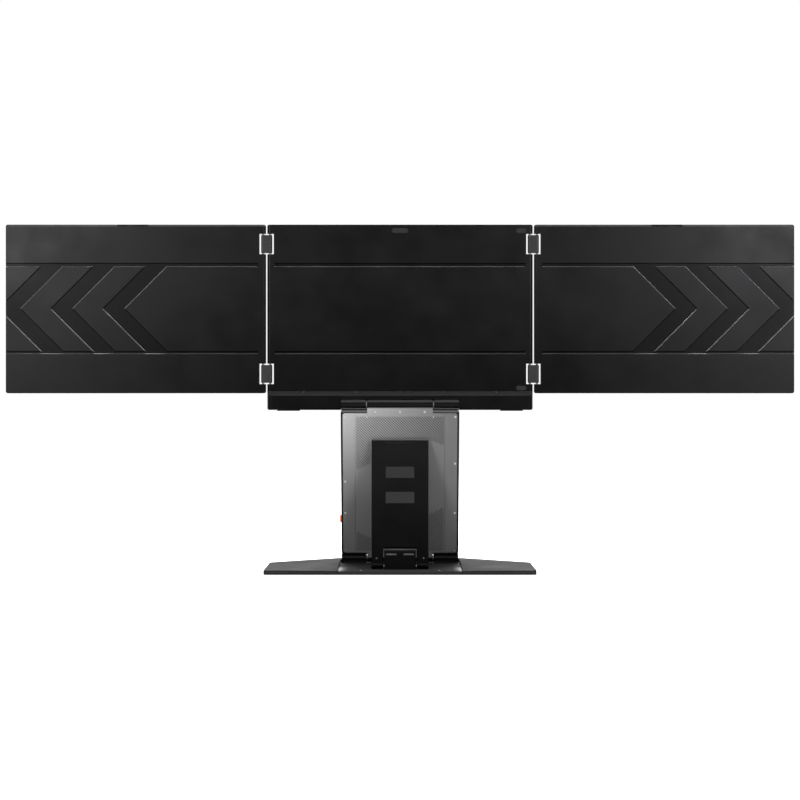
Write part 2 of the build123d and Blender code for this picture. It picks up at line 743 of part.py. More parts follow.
def link_notches(edge_x, inward):
    """Cuts for both links in a panel's hinge edge, with the bores of their pins."""
    pin_x = link_x + inward * LINK_PIN_SPAN / 2
    x0, x1 = sorted((pin_x + inward * LINK_SWING, edge_x - inward * OVER))
    half = LINK_H / 2 + LINK_NOTCH_GAP
    bite = half + LINK_PIN_BITE + SLIP
    cuts = []
    for z in link_zs:
        cuts.append(block(x0, x1, panel_front - OVER, panel_rear + OVER, z - half, z + half))
        cuts.append(rod_z(LINK_PIN_R + RUN, z - bite, z + bite, pin_x, panel_mid))
    return cuts


def relief(face):
    """Cut with sloped walls, let into the rear face of the panels."""
    return extrude(Plane.XZ.offset(-panel_rear) * face, RELIEF, taper=RELIEF_SLOPE)


def groove_bars(x0, x1):
    """The two long grooves across a rear cover."""
    upper = panel_top - UPPER_GROOVE
    lower = panel_top - LOWER_GROOVE
    return [Pos((x0 + x1) / 2, upper - UPPER_GROOVE_H / 2) * Rectangle(x1 - x0, UPPER_GROOVE_H),
            Pos((x0 + x1) / 2, lower - LOWER_GROOVE_H / 2) * Rectangle(x1 - x0, LOWER_GROOVE_H)]


def chevron(x0):
    """Channel between two islands: two slanted arms that meet outward at mid height."""
    top = panel_top - UPPER_GROOVE - UPPER_GROOVE_H / 2
    low = panel_top - LOWER_GROOVE - LOWER_GROOVE_H / 2
    mid = (top + low) / 2
    tip = (top - low) / 2
    x1 = x0 + CHANNEL_W
    return Polygon((x0, low), (x1, low), (x1 + tip, mid), (x1, top), (x0, top), (x0 + tip, mid), align=None)


def wing_relief():
    """Both grooves, open at the wing's outer edge, and the channels between them."""
    upper, lower = groove_bars(wing_in + WING_GROOVE_END, wing_out + CHANNEL_W)
    face = upper + lower
    for n in range(CHANNELS):
        face += chevron(wing_in + FIELD_W + n * (CHANNEL_W + ISLAND_W))
    return relief(face)


def behind_split(shell):
    """What the rear cover keeps of a panel."""
    return split(shell, Plane.XZ.offset(-split_y), keep=Keep.BOTTOM)


def ahead_of_split(shell):
    """What the front frame keeps of a panel."""
    return split(shell, Plane.XZ.offset(-split_y), keep=Keep.TOP)


def screen_opening(x0, x1, y0, y1, grow):
    return block(x0 - grow, x1 + grow, y0, y1, screen_low - grow, screen_high + grow)


def glass(x0, x1):
    y0 = panel_front + GLASS_SINK
    return screen_opening(x0, x1, y0, y0 + GLASS_T, 0)


def display(x0, x1):
    """Screen cell and its backlight, behind the glass."""
    y0 = panel_front + GLASS_SINK + GLASS_T
    return screen_opening(x0, x1, y0, y0 + DISPLAY_T, 0)


# ---- wing panel, on the +X side

def bar_space():
    """Room for the rocker bar in the wing's top edge, open above and to the rear."""
    half = BAR_L / 2 + SLIP
    return block(bar_x - half, bar_x + half, panel_rear - BAR_D - 2 * SLIP, panel_rear + OVER, bar_floor,
                 panel_top + OVER)


def bar_stems(radius, low):
    """Stems under the bar, or their bores, down to the given height."""
    y = split_y - SWITCH_D / 2
    return [rod_z(radius, low, panel_top - BAR_H, bar_x + side * STEM_X, y) for side in (-1, 1)]


def switch_strip(grow):
    """Strip with the two switches under the bar's stems, against the rear cover."""
    half = STEM_X + SWITCH_D / 2 + grow
    return block(bar_x - half, bar_x + half, split_y - SWITCH_D - grow, split_y,
                 switch_low - grow, switch_high + grow)


def wing_shell():
    body = rounded_slab(wing_in, wing_out, wing_low, panel_top, ("low",))
    for cut in link_notches(wing_in, 1):
        body -= cut
    return body - bar_space()


def wing_cover(shell):
    return behind_split(shell) - wing_relief()


def wing_frame(shell):
    body = ahead_of_split(shell)
    body -= screen_opening(wing_screen_in, wing_screen_out, panel_front - OVER, split_y, FIT)
    for bore in bar_stems(STEM_R + SLIP, switch_high):
        body -= bore
    return body - switch_strip(FIT)


def wing_driver_board():
    """Board on the inside of the rear cover, behind the foot of the screen."""
    x0 = wing_screen_in + DRIVER_IN
    z0 = screen_low + DRIVER_UP
    return block(x0, x0 + DRIVER_W, split_y - BOARD_T, split_y, z0, z0 + DRIVER_H)


def wing_bar():
    """Rocker bar on two stems."""
    y1 = panel_rear - SLIP
    half = BAR_L / 2
    body = block(bar_x - half, bar_x + half, y1 - BAR_D, y1, panel_top - BAR_H, panel_top)
    body = chamfer(body.faces().sort_by(Axis.Z)[-1].edges(), EDGE_BREAK)
    for stem in bar_stems(STEM_R, stem_low):
        body += stem
    return body


# ---- centre panel

def chin_block():
    """Thicker foot of the centre panel, with a sloped ledge above it."""
    low = centre_low
    high = low + CHIN_H + LEDGE_H
    side = [(split_y, low), (chin_rear - CHIN_BEVEL, low), (chin_rear, low + CHIN_BEVEL),
            (chin_rear, low + CHIN_H), (panel_rear, high), (split_y, high)]
    end = centre_half - CHIN_INSET
    body = prism_x(side, -end, end)
    section = Pos(0, chin_rear - panel_t) * RectangleRounded(2 * end, 2 * panel_t, CHIN_END_R)
    body &= extrude(Plane.XY.offset(low - OVER) * section, high - low + 2 * OVER)
    return body & plate(-end, end, low, panel_top, split_y, chin_rear, CORNER_R)


def barrel_recess():
    """Space for the upper hinge, open to the rear and below."""
    front = panel_front + RECESS_SKIN
    ceiling = upper_z + UPPER_R + RECESS_AIR
    side = [(front, centre_low - OVER), (chin_rear + OVER, centre_low - OVER), (chin_rear + OVER, ceiling),
            (upper_y - CEILING_FRONT, ceiling), (front, upper_z + RECESS_SHOULDER)]
    half = knuckle_out + RECESS_END_GAP
    return prism_x(side, -half, half)


def centre_shell():
    body = rounded_slab(-centre_half, centre_half, centre_low, panel_top, ("low", "high"))
    body += chin_block()
    body -= barrel_recess()
    for cut in link_notches(centre_half, -1):
        for piece in mirror_pair(cut):
            body -= piece
    return body


def chin_pocket(y0, y1):
    """Hollow of the chin on the +X side of the barrel recess."""
    x0 = knuckle_out + RECESS_END_GAP + CHIN_WALL
    x1 = centre_pin_x - LINK_SWING
    return block(x0, x1, y0, y1, centre_low + CHIN_FLOOR, centre_low + CHIN_H - CHIN_ROOF)


def chin_screw_xs():
    return [-CHIN_SCREW_END, -CHIN_SCREW_PITCH, 0.0, CHIN_SCREW_PITCH, CHIN_SCREW_END]


def chin_screws(make):
    y = panel_rear - SCREW_SINK
    return [facing_rear(x, y, centre_low + CHIN_SCREW_UP) * make(SCREW_L) for x in chin_screw_xs()]


def chin_screw_notch(x):
    """Notch in the sloped ledge that gives room to a screw's head."""
    return rod_y(SCREW_R, panel_rear - SCREW_SINK, chin_rear, x, centre_low + CHIN_SCREW_UP)


def cover_plugs():
    """Rubber plugs in the centre cover: one at the top, two near the -X edge."""
    side = PLUG_SIDE - centre_half
    top_z = panel_top - TOP_PLUG_DROP
    places = [(0.0, top_z, TOP_PLUG_W, TOP_PLUG_H), (side, top_z, SIDE_PLUG_W, SIDE_PLUG_H),
              (side, centre_low + SIDE_PLUG_UP, SIDE_PLUG_W, SIDE_PLUG_H)]
    return [plate(x - w / 2, x + w / 2, z - h / 2, z + h / 2, panel_rear - PLUG_T, panel_rear, h / 2 - FIT)
            for x, z, w, h in places]


def centre_cover(shell):
    body = behind_split(shell)
    end = centre_half - CENTRE_GROOVE_END
    cuts = [relief(bar) for bar in groove_bars(-end, end)]
    cuts += mirror_pair(chin_pocket(split_y, chin_rear - CHIN_WALL))
    cuts += chin_screws(screw_hole)
    cuts += [chin_screw_notch(x) for x in chin_screw_xs()]
    for cut in cuts + cover_plugs():
        body -= cut
    return body


def centre_frame(shell):
    body = ahead_of_split(shell)
    body -= screen_opening(-SCREEN_W / 2, SCREEN_W / 2, panel_front - OVER, split_y, FIT)
    for cut in mirror_pair(chin_pocket(panel_front + RECESS_SKIN, split_y)) + chin_screws(screw_hole):
        body -= cut
    return body


def centre_foot():
    """Rubber strip under the chin."""
    y_mid = (panel_front + chin_rear) / 2
    strip = extrude(SlotOverall(CHIN_FOOT_W, CHIN_FOOT_D), CHIN_FOOT_T)
    return Pos(CHIN_FOOT_X, y_mid, centre_low - CHIN_FOOT_T) * strip


def centre_knuckle():
    """Outer part of the upper hinge, with the web that ties it to the panel."""
    body = round_ends(rod_x(UPPER_R, knuckle_in, knuckle_out, upper_y, upper_z))
    web = block(knuckle_in + EDGE_BREAK, knuckle_out - EDGE_BREAK, panel_front, upper_y,
                upper_z, upper_z + 2 * UPPER_R)
    body += web & barrel_recess()
    return body - rod_x(PIN_R + RUN, knuckle_in, knuckle_out - KNUCKLE_WALL + SLIP, upper_y, upper_z)


def centre_main_board():
    """Driver board in one chin pocket, lifted off the front wall by its tall parts."""
    room = chin_pocket(panel_front + RECESS_SKIN, split_y).bounding_box()
    x0 = room.min.X + MAIN_BOARD_GAP
    x1 = room.max.X - MAIN_BOARD_GAP
    y0 = room.min.Y + MAIN_BOARD_LIFT
    z0 = room.min.Z + FIT
    z1 = room.max.Z - FIT
    body = block(x0, x1, y0, y0 + BOARD_T, z0, z1)
    pitch = (x1 - x0) / MAIN_CHIPS
    for n in range(MAIN_CHIPS):
        x = x0 + (n + 0.5) * pitch
        body += block(x - MAIN_CHIP_W / 2, x + MAIN_CHIP_W / 2, room.min.Y, y0 + BOARD_T + CHIP_T,
                      z0 + MAIN_CHIP_EDGE, z1 - MAIN_CHIP_EDGE)
    return body


# ---- links

def link_block(z):
    width = LINK_PIN_SPAN + 2 * LINK_END
    section = Pos(link_x, panel_mid) * RectangleRounded(width, LINK_T, LINK_R)
    body = extrude(Plane.XY.offset(z - LINK_H / 2) * section, LINK_H)
    body = fillet(body.faces().sort_by(Axis.Z)[-1].edges(), LINK_EDGE_R)
    body = fillet(body.faces().sort_by(Axis.Z)[0].edges(), LINK_EDGE_R)
    for x in (centre_pin_x, wing_pin_x):
        body -= rod_z(LINK_PIN_R, z - LINK_H, z + LINK_H, x, panel_mid)
    return body


def link_pin(x, z):
    reach = LINK_H / 2 + LINK_NOTCH_GAP + LINK_PIN_BITE
    return rod_z(LINK_PIN_R, z - reach, z + reach, x, panel_mid)


# ---- write every piece

def save(name, shape):
    export_step(shape, f"parts/{name}.step")


os.makedirs("parts", exist_ok=True)

save("base_plate", base_plate())
save("base_deck", base_deck())
save("base_closing_sheet", base_sheet())
save("base_ballast", group(mirror_pair(ballast_bar(0))))
save("base_feet", group(base_feet()))
save("base_deck_screws", group([place * screw(deck_screw_length()) for place in deck_screw_places()]))
save("lower_knuckles", group(mirror_pair(lower_knuckle())))
save("lower_hinge_pins", group(mirror_pair(hinge_pin(lower_y, lower_z))))
save("lower_hinge_washers", group(mirror_pair(hinge_washer(lower_y, lower_z))))
save("strut_lug", strut_lug())
save("strut_lug_leaves", group(mirror_pair(lug_leaf())))
save("strut_pin", strut_pin())

save("spine_chassis", lean(spine_chassis()))
save("spine_cover", lean(spine_cover()))
save("spine_hub_board", lean(spine_hub_board()))
save("spine_ports", group([lean(spine_port(z)) for z in port_heights()]))
save("spine_key_switch", lean(key_switch()))
save("spine_lower_barrel", lean(barrel(LOWER_R, 0, RUN)))
save("spine_upper_barrel", lean(barrel(UPPER_R, SPINE_L, 0)))
save("upper_hinge_pins", group(mirror_pair(hinge_pin(upper_y, upper_z))))
save("upper_hinge_washers", group(mirror_pair(hinge_washer(upper_y, upper_z))))
save("spine_cover_screws", group([lean(s) for s in cover_screws(screw)]))
save("power_key", lean(power_key()))

save("strut_plate", prop(strut_plate()))
save("strut_pads", group([prop(strut_pad(up)) for up in PAD_UPS]))
save("strut_bumper", prop(strut_bumper()))
save("strut_screws", group([prop(s) for s in strut_screws(screw)]))

centre = centre_shell()
save("centre_rear_cover", centre_cover(centre))
save("centre_front_frame", centre_frame(centre))
save("centre_screen_glass", glass(-SCREEN_W / 2, SCREEN_W / 2))
save("centre_display", display(-SCREEN_W / 2, SCREEN_W / 2))
save("centre_main_board", centre_main_board())
save("centre_knuckles", group(mirror_pair(centre_knuckle())))
save("centre_chin_screws", group(chin_screws(screw)))
save("centre_chin_feet", group(mirror_pair(centre_foot())))
save("centre_cover_plugs", group(cover_plugs()))

wing = wing_shell()
wing_pieces = {
    "wing_rear_cover": wing_cover(wing),
    "wing_front_frame": wing_frame(wing),
    "wing_screen_glass": glass(wing_screen_in, wing_screen_out),
    "wing_display": display(wing_screen_in, wing_screen_out),
    "wing_driver_board": wing_driver_board(),
    "wing_rocker_bar": wing_bar(),
    "wing_bar_switches": switch_strip(0),
    "link_upper": link_block(link_zs[0]),
    "link_lower": link_block(link_zs[1]),
    "link_pins": group([link_pin(x, z) for x in (centre_pin_x, wing_pin_x) for z in link_zs]),
}
for name, piece in wing_pieces.items():
    save(f"right_{name}", piece)
    save(f"left_{name}", mirror(piece, Plane.YZ))
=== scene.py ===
import json
import math

import bmesh
import bpy
from mathutils import Matrix, Vector

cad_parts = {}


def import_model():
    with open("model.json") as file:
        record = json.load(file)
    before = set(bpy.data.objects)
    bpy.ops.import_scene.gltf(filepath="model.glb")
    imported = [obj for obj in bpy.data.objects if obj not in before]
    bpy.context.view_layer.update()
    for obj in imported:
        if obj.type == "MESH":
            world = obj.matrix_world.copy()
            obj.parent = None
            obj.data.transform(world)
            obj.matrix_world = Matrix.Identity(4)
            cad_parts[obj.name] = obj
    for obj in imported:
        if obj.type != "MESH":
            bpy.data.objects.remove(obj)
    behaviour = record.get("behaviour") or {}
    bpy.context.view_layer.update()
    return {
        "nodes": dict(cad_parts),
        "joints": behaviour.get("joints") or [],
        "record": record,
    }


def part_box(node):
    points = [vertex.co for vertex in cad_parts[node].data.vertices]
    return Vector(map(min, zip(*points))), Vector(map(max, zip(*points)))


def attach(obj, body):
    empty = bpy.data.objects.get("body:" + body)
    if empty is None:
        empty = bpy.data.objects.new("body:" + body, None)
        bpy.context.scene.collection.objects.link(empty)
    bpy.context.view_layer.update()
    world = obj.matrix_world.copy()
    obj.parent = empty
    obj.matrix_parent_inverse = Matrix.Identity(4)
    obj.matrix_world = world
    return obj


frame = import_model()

MM = 0.001
joints = {joint["name"]: joint for joint in frame["joints"]}


# ---- places worked out from the frame

lower_axis = Vector(joints["spine_tilt"]["pos_m"])
upper_axis = Vector(joints["panel_tilt"]["pos_m"])
spine_line = upper_axis - lower_axis
spine_lean = math.atan2(spine_line.y, spine_line.z)
wing_low, wing_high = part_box("right_wing_rear_cover")
panel_rear = wing_high.y
panel_top = wing_high.z
cover_low, cover_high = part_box("spine_cover")
cover_height = cover_high.z - cover_low.z
barrel_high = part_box("spine_upper_barrel")[1]
barrel_half = barrel_high.x
barrel_radius = barrel_high.z - upper_axis.z
base_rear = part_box("base_plate")[1].y
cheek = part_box("base_deck")[1].x       # the deck's side, where a cheek of the base begins


def leaned(x, y, height):
    """Point of the spine's own frame, with Y out of its rear face, in the row's frame."""
    turn = Matrix.Rotation(-spine_lean, 4, "X")
    return lower_axis + turn @ Vector((x, y, height))


def spine_corners(node):
    """The corners of a node's mesh, in the spine's own frame."""
    back = Matrix.Rotation(spine_lean, 4, "X")
    return [back @ (vertex.co - lower_axis) for vertex in frame["nodes"][node].data.vertices]


# ---- building a node material

class Finish:
    """A material on one Principled shader, with short ways to add and join nodes."""

    def __init__(self, name, colour, roughness, metal, specular):
        self.material = bpy.data.materials.new(name)
        self.material.use_nodes = True
        self.nodes = self.material.node_tree.nodes
        self.links = self.material.node_tree.links
        self.shader = self.nodes["Principled BSDF"]
        coordinates = self.nodes.new("ShaderNodeTexCoord")
        self.place = coordinates.outputs["Object"]
        self.facing = coordinates.outputs["Normal"]
        self.colour = (*colour, 1.0)
        self.roughness = roughness
        self.normal = None
        self.shader.inputs["Metallic"].default_value = metal
        self.shader.inputs["Specular IOR Level"].default_value = specular

    def feed(self, socket, value):
        """Joins an output to a socket, or gives the socket a plain value."""
        if isinstance(value, bpy.types.NodeSocket):
            self.links.new(value, socket)
        else:
            socket.default_value = value

    def math(self, operation, a, b=0.0, clamp=False):
        node = self.nodes.new("ShaderNodeMath")
        node.operation = operation
        node.use_clamp = clamp
        self.feed(node.inputs[0], a)
        self.feed(node.inputs[1], b)
        return node.outputs[0]

    def both(self, a, b):
        """The product of two shares."""
        return self.math("MULTIPLY", a, b)

    def ramp(self, value, low, high, to_low=0.0, to_high=1.0):
        """Maps low..high onto to_low..to_high and holds the ends."""
        node = self.nodes.new("ShaderNodeMapRange")
        for socket, number in zip(node.inputs, (value, low, high, to_low, to_high)):
            self.feed(socket, number)
        return node.outputs[0]

    def vary(self, noise, to_low, to_high):
        """Maps noise from 0.3 to 0.7, where most of it lies, onto to_low..to_high and holds the ends."""
        return self.ramp(noise, 0.3, 0.7, to_low, to_high)

    def band(self, value, low, high, soft):
        """1 between low and high and 0 outside, with soft ends of that width."""
        rise = self.ramp(value, low - soft / 2, low + soft / 2)
        return self.both(rise, self.ramp(value, high + soft / 2, high - soft / 2))

    def noise(self, size, stretch=(1.0, 1.0, 1.0), detail=3.0):
        """Noise from 0 to 1 whose lumps are about that size in metres, stretched along the axes."""
        scale = self.nodes.new("ShaderNodeMapping")
        scale.vector_type = "POINT"
        scale.inputs["Scale"].default_value = [1 / (size * s) for s in stretch]
        self.links.new(self.place, scale.inputs["Vector"])
        node = self.nodes.new("ShaderNodeTexNoise")
        node.inputs["Scale"].default_value = 1.0
        node.inputs["Detail"].default_value = detail
        self.links.new(scale.outputs[0], node.inputs["Vector"])
        return node.outputs[0]

    def axis(self, vector, name):
        """One component of a vector, by the axis's name."""
        node = self.nodes.new("ShaderNodeSeparateXYZ")
        self.links.new(vector, node.inputs[0])
        return node.outputs[name]

    def spine_place(self):
        """The place turned upright with the spine, from the lower axis: X, depth Y and height Z."""
        node = self.nodes.new("ShaderNodeMapping")
        node.vector_type = "TEXTURE"
        node.inputs["Location"].default_value = lower_axis
        node.inputs["Rotation"].default_value = (-spine_lean, 0.0, 0.0)
        self.links.new(self.place, node.inputs["Vector"])
        return node.outputs[0]

    def openness(self, reach):
        """From 0 deep in a crevice to 1 in the open, looking that far for walls of the same piece."""
        node = self.nodes.new("ShaderNodeAmbientOcclusion")
        node.only_local = True
        node.samples = 6
        node.inputs["Distance"].default_value = reach
        return node.outputs["AO"]

    def tint(self, share, colour):
        """Paints a colour over what is there, where share is 1."""
        node = self.nodes.new("ShaderNodeMix")
        node.data_type = "RGBA"
        self.feed(node.inputs["Factor"], share)
        self.feed(node.inputs["A"], self.colour)
        self.feed(node.inputs["B"], (*colour, 1.0))
        self.colour = node.outputs["Result"]

    def shade(self, factor):
        """Multiplies the colour by a factor."""
        node = self.nodes.new("ShaderNodeVectorMath")
        node.operation = "SCALE"
        plain = not isinstance(self.colour, bpy.types.NodeSocket)
        self.feed(node.inputs[0], self.colour[:3] if plain else self.colour)
        self.feed(node.inputs["Scale"], factor)
        self.colour = node.outputs[0]

    def roughen(self, amount):
        self.roughness = self.math("ADD", self.roughness, amount, clamp=True)

    def round_edges(self, radius):
        """Shading as if sharp edges had that radius. Returns how near an edge the point is, from 0 to 1."""
        on_face, on_edge = 0.98, 0.80      # cosine between the rounded and the flat normal
        bevel = self.nodes.new("ShaderNodeBevel")
        bevel.samples = 4
        bevel.inputs["Radius"].default_value = radius
        self.normal = bevel.outputs[0]
        flat = self.nodes.new("ShaderNodeNewGeometry").outputs["Normal"]
        dot = self.nodes.new("ShaderNodeVectorMath")
        dot.operation = "DOT_PRODUCT"
        self.links.new(bevel.outputs[0], dot.inputs[0])
        self.links.new(flat, dot.inputs[1])
        return self.ramp(dot.outputs["Value"], on_face, on_edge)

    def bump(self, height, depth):
        """Lays a relief on the surface, depth metres from a height of 0 to one of 1."""
        node = self.nodes.new("ShaderNodeBump")
        node.inputs["Strength"].default_value = 1.0
        node.inputs["Distance"].default_value = depth
        self.feed(node.inputs["Height"], height)
        if self.normal is not None:
            self.links.new(self.normal, node.inputs["Normal"])
        self.normal = node.outputs[0]

    def done(self):
        self.feed(self.shader.inputs["Base Color"], self.colour)
        self.feed(self.shader.inputs["Roughness"], self.roughness)
        if self.normal is not None:
            self.links.new(self.normal, self.shader.inputs["Normal"])
        return self.material


# ---- kinds of surface

BARE_METAL = (0.30, 0.30, 0.31)
DUST = (0.08, 0.08, 0.077)


def grey(value):
    """A neutral colour."""
    return (value, value, value)


def blasted(name, colour, roughness, specular=0.4, metal=0.0, edge=0.0):
    """Bead-blasted and anodised, or fine moulded: even grain, faint cloudiness, slightly bare edges."""
    f = Finish(name, colour, roughness, metal, specular)
    near_edge = f.round_edges(0.35 * MM)
    cloud = f.noise(42 * MM, detail=4.0)
    grain = f.noise(0.45 * MM, detail=2.0)
    f.shade(f.math("ADD", f.vary(cloud, 0.93, 1.05), f.vary(grain, -0.05, 0.05)))
    f.roughen(f.vary(cloud, -0.05, 0.05))
    if edge:
        worn = f.both(near_edge, f.ramp(f.noise(6 * MM), 0.35, 0.65, 0.35, 1.0))
        f.tint(f.both(worn, edge), BARE_METAL)
    f.bump(grain, 0.012 * MM)
    return f


def brushed(name, colour, roughness, along=(30.0, 1.0, 1.0)):
    """Drawn or turned metal, with its fine scratches along one axis."""
    f = Finish(name, colour, roughness, 1.0, 0.5)
    near_edge = f.round_edges(0.2 * MM)
    lines = f.noise(0.16 * MM, stretch=along)
    cloud = f.noise(9 * MM)
    f.shade(f.math("ADD", f.vary(lines, 0.88, 1.08), f.vary(cloud, -0.05, 0.05)))
    f.roughen(f.vary(lines, -0.06, 0.08))
    f.tint(f.both(near_edge, 0.25), grey(0.8))
    f.bump(lines, 0.006 * MM)
    return f


def rubber(name, colour, roughness=0.8):
    """Matt moulded rubber with a little dust in its pores."""
    f = Finish(name, colour, roughness, 0.0, 0.1)
    f.round_edges(0.4 * MM)
    pores = f.noise(0.6 * MM, detail=4.0)
    dust = f.noise(7 * MM, detail=5.0)
    f.tint(f.ramp(dust, 0.5, 0.75, 0.0, 0.12), DUST)
    f.roughen(f.ramp(dust, 0.4, 0.7, -0.06, 0.08))
    f.bump(pores, 0.03 * MM)
    return f


# ---- the panels' materials

CHANNEL_PAINTED_SHADE = 0.8 * MM     # under the panels' rear faces: from here down a channel's painted shade is darkest
FLUSH = 0.1 * MM            # what still counts as level with a face
CREVICE_PAINTED_SHADE = 2.0 * MM          # how far the painted shade in the crevices reaches
WALLS_FROM = 20 * MM        # under the panels' top: no groove and no ledge lies higher, so their painted highlights start here
WALLS_WHOLE = 30 * MM       # and all of them lie lower
PAINTED_SHADE_FROM = 60 * MM        # under the panels' top: the painted shade of the lower inner corners starts here
PAINTED_SHADE_WHOLE = 190 * MM      # and is whole from here down
RIM_FROM = 2.5 * MM         # under the panels' top: the wings' painted rim highlight starts here
RIM_WHOLE = 2.1 * MM        # and is whole from here up
PRINTED_BORDER = 3.2 * MM   # on the screen glass, round the picture
BORDER_SOFT = 0.3 * MM      # how gradually it ends
GLASSES = ("centre_screen_glass", "right_wing_screen_glass", "left_wing_screen_glass")


def panel_cover():
    """Black blasted aluminium, with painted light.

    Painted shade darkens its channels, its crevices, its faces that look down and the wings' lower inner
    corners.
    Painted highlights brighten the walls in its channels that face up, the ledges that face up and the
    wings' upper rim.
    """
    f = blasted("panel_cover", (0.0058, 0.0058, 0.006), 0.36, metal=1.0)
    across, depth, height = (f.axis(f.place, name) for name in "XYZ")
    upward = f.axis(f.facing, "Z")
    outward = f.both(f.axis(f.facing, "X"), f.math("SIGN", across))
    # painted shade in the channels and the crevices
    f.shade(f.ramp(depth, panel_rear - CHANNEL_PAINTED_SHADE, panel_rear - FLUSH, 0.64, 1.0))
    f.shade(f.ramp(f.openness(CREVICE_PAINTED_SHADE), 0.5, 0.95, 0.6, 1.0))

    # painted highlights on faces that look up: the channels' walls, brightest where they face outward, and
    # the ledges
    under_top = f.ramp(height, panel_top - WALLS_FROM, panel_top - WALLS_WHOLE)
    wall = f.both(f.ramp(upward, 0.2, 0.45), under_top)
    groove_highlight = f.both(wall, f.ramp(depth, panel_rear + FLUSH, panel_rear))
    ledge = f.both(wall, f.ramp(depth, panel_rear, panel_rear + FLUSH))
    f.tint(ledge, grey(0.0125))
    f.tint(groove_highlight, grey(0.085))
    f.tint(f.both(groove_highlight, f.ramp(outward, 0.1, 0.45)), grey(0.25))
    # painted shade on the faces that look down
    f.shade(f.ramp(upward, -0.6, -0.2, 0.3, 1.0))

    side = f.math("ABSOLUTE", across)
    inner = f.ramp(side, wing_high.x, wing_low.x)      # 0 at a wing's outer edge, 1 at its inner one
    # painted shade towards the wings' lower inner corners
    low = f.ramp(height, panel_top - PAINTED_SHADE_FROM, panel_top - PAINTED_SHADE_WHOLE)
    f.shade(f.ramp(f.both(inner, low), 0.0, 1.0, 1.0, 0.6))
    # painted highlight along the wings' upper rim, stronger towards their inner edges
    on_wing = f.ramp(side, wing_low.x, wing_low.x + FLUSH)
    rim = f.both(f.ramp(height, panel_top - RIM_FROM, panel_top - RIM_WHOLE), on_wing)
    f.tint(f.both(rim, f.ramp(inner, 0.0, 1.0, 0.25, 1.0)), grey(0.023))
    return f


def panel_frame():
    return blasted("panel_frame", (0.012, 0.012, 0.0125), 0.36, edge=0.03)


def screen_glass():
    """Switched-off screen: a faint blue-grey picture area inside a printed black border."""
    f = Finish("screen_glass", (0.0015, 0.0015, 0.0016), 0.07, 0.0, 0.3)
    x, height = f.axis(f.place, "X"), f.axis(f.place, "Z")
    for node in GLASSES:
        low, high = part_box(node)
        side = f.band(x, low.x + PRINTED_BORDER, high.x - PRINTED_BORDER, BORDER_SOFT)
        up = f.band(height, low.z + PRINTED_BORDER, high.z - PRINTED_BORDER, BORDER_SOFT)
        f.tint(f.both(side, up), (0.011, 0.012, 0.014))
    smears = f.noise(26 * MM, stretch=(1.0, 1.0, 2.2), detail=5.0)
    f.roughen(f.ramp(smears, 0.45, 0.75, 0.0, 0.05))
    return f


# ---- the stand's materials

CHASSIS_RIM_FROM = 2.6 * MM   # under the tray's top edge: its grey rim starts here
CHASSIS_RIM_WHOLE = 2.0 * MM  # and is whole from here up
BEVEL_HIGHLIGHT_FROM = 1.3 * MM         # under the strut's top edge: its painted bevel highlight starts here
BEVEL_HIGHLIGHT_WHOLE = 0.7 * MM        # and is whole from here up
CREASE_SPAN = 57.5 * MM       # crease in the base's top, from the deck along the rear edge
CREASE_LENGTH = 102 * MM      # and from the rear edge along the deck
CHEEK_SHADOW_LINE = 1.4 * MM         # from a cheek: the deck's painted shadow line is black this far
CHEEK_SHADOW_LINE_END = 2.4 * MM     # and the painted shadow has faded out here
CHEEK_HIGHLIGHT = 2.0 * MM        # from a cheek: the deck's painted highlight is strongest here
CHEEK_HIGHLIGHT_END = 15.0 * MM   # and gone from here
DECK_HIGHLIGHT_FROM = 60 * MM          # ahead of the base's rear edge: the painted highlight starts here
DECK_HIGHLIGHT_WHOLE = 42 * MM         # and is whole from here to the rear


def spine_metal(name="spine_metal", share=1.0):
    """Grey satin metal, or that share of its colour, with a painted highlight that lightens it towards the
    upper +X corner of the spine.
    """
    f = blasted(name, (0.078 * share, 0.078 * share, 0.079 * share), 0.5, specular=0.15, edge=0.2)
    sideways = f.ramp(f.axis(f.place, "X"), cover_low.x, cover_high.x)
    upwards = f.ramp(f.axis(f.place, "Z"), cover_low.z + 0.35 * cover_height, cover_high.z)
    # painted highlight, strongest at the upper +X corner
    painted_highlight = f.both(f.math("POWER", sideways, 1.5), f.math("POWER", upwards, 1.3))
    f.shade(f.ramp(painted_highlight, 0.0, 1.0, 0.9, 3.2))
    return f


def spine_black():
    """Black moulded tray, lighter grey along its top edge."""
    f = blasted("chassis_black", (0.003, 0.003, 0.0031), 0.4, specular=0.06, edge=0.03)
    top = max(corner.z for corner in spine_corners("spine_chassis") if abs(corner.x) > barrel_half + MM)
    height = f.axis(f.spine_place(), "Z")
    f.tint(f.ramp(height, top - CHASSIS_RIM_FROM, top - CHASSIS_RIM_WHOLE), grey(0.05))
    return f


def upper_hinge_black():
    """Black turned barrel and knuckles with a painted highlight along their top."""
    f = blasted("upper_hinge_black", (0.0012, 0.0012, 0.0013), 0.3, specular=0.05, edge=0.03)
    height = f.math("SUBTRACT", f.axis(f.place, "Z"), upper_axis.z)
    # painted highlight on the upper half of the barrel and knuckles
    f.tint(f.ramp(height, 0.25 * barrel_radius, 0.85 * barrel_radius), grey(0.045))
    return f


def strut_black():
    """Black anodised plate, with painted shade that darkens it towards its lower end and a painted
    highlight on its top bevel.
    """
    f = blasted("strut_black", (0.0055, 0.0055, 0.0057), 0.42, metal=1.0)
    low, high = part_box("strut_plate")
    height = f.axis(f.place, "Z")
    # painted shade, darker towards the lower end
    f.shade(f.ramp(height, low.z, high.z, 0.22, 1.0))
    # painted highlight on the top bevel
    f.tint(f.ramp(height, high.z - BEVEL_HIGHLIGHT_FROM, high.z - BEVEL_HIGHLIGHT_WHOLE), grey(0.09))
    return f


